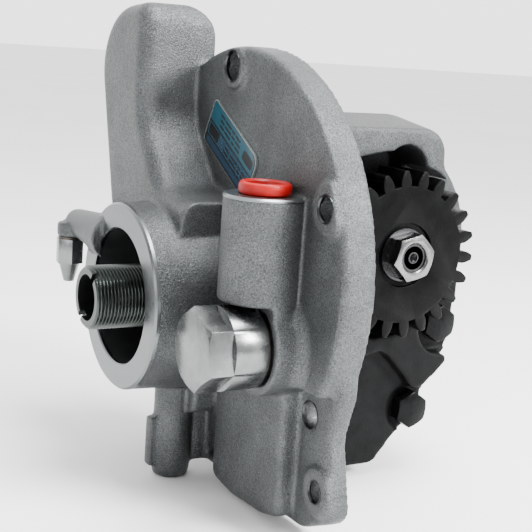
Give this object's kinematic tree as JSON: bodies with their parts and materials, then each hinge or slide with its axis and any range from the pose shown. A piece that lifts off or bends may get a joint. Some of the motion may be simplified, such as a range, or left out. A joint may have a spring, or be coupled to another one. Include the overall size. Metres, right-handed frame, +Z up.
{
  "type": "hydraulic gear pump",
  "caption": "Tractor hydraulic gear pump on a cast round manifold with spin-on filter head, relief valve, delivery port and straight-cut drive gear.",
  "frame": {"origin": "centre of the round mounting plate on its back (machine side) face", "axes": "+X out of the plate's back face into the tractor housing, so the pump is on +X and the filter seat on -X; the drive gear's nut faces -Y; +Z up"},
  "size_m": [0.1785, 0.1868, 0.2161],
  "materials": {
    "sand_cast_aluminium": "raw sand-cast, fine sparkle, machined faces bright",
    "cast_aluminium": "raw sand-cast, satin",
    "extruded_aluminium": "satin extruded",
    "black_iron": "black phosphated cast iron",
    "phosphated_steel": "grey-green phosphated steel",
    "zinc_steel": "zinc plated, slightly dull",
    "copper_washer": "dull copper",
    "hardened_steel": "ground steel",
    "spring_steel": "oiled spring steel",
    "red_plastic": "soft moulded plastic",
    "printed_label": "satin printed plate",
    "black_gear_steel": "black oiled steel, worn bright on the flanks",
    "bright_steel": "bright steel",
    "bronze": "sintered bronze",
    "seal_rubber": "nitrile rubber",
    "bearing_aluminium": "machined",
    "black_bolt_steel": "black oxide steel"
  },
  "bodies": {
    "housing": {"manifold_housing": "sand_cast_aluminium", "pump_support": "cast_aluminium", "pump_body": "extruded_aluminium", "front_cover": "black_iron", "rear_cover": "black_iron", "filter_stub": "phosphated_steel", "gallery_plug": "zinc_steel", "relief_cap": "zinc_steel", "relief_cap_washer": "copper_washer", "relief_seat": "hardened_steel", "relief_spring": "spring_steel", "label_plate": "printed_label", "side_union": "zinc_steel", "side_union_washer": "copper_washer", "drive_bush": "bronze", "shaft_seal": "seal_rubber", "seal_circlip": "spring_steel", "front_bearing_block": "bearing_aluminium", "rear_bearing_block": "bearing_aluminium", "bearing_bushes": "bronze", "cover_seals": "seal_rubber", "inlet_port_seal": "seal_rubber", "outlet_port_seal": "seal_rubber", "cover_bolts": "black_bolt_steel", "rear_bolts": "black_bolt_steel", "support_screws": "black_bolt_steel", "dowel_pins": "hardened_steel", "flange_seal": "seal_rubber"},
    "drive_shaft_assembly": {"drive_shaft": "hardened_steel", "drive_gear": "black_gear_steel", "drive_key": "hardened_steel", "lock_washer": "bright_steel", "shaft_nut": "zinc_steel"},
    "driven_shaft": {"driven_gear": "hardened_steel"},
    "relief_plunger": {"relief_poppet": "hardened_steel"},
    "port_closure": {"port_plug": "red_plastic"}
  },
  "joints": [
    {"name": "drive_spin", "type": "hinge", "parent": "housing", "child": "drive_shaft_assembly", "pos_m": [0.05365, 0, 0.0054], "axis": [0, 1, 0], "continuous": true},
    {"name": "driven_spin", "type": "hinge", "parent": "housing", "child": "driven_shaft", "pos_m": [0.05365, 0, -0.0366], "axis": [0, 1, 0], "continuous": true},
    {"name": "relief_lift", "type": "slide", "parent": "housing", "child": "relief_plunger", "axis": [-1, 0, 0], "range_m": [0, 0.006], "stiffness_N_per_m": 2000, "springref_m": -0.01, "deforming": ["relief_spring"]},
    {"name": "plug_pull", "type": "slide", "parent": "housing", "child": "port_closure", "axis": [0, 0, 1], "range_m": [0, 0.02]}
  ],
  "couplings": [
    {"joint": "driven_spin", "follows": "drive_spin", "ratio": -1}
  ]
}
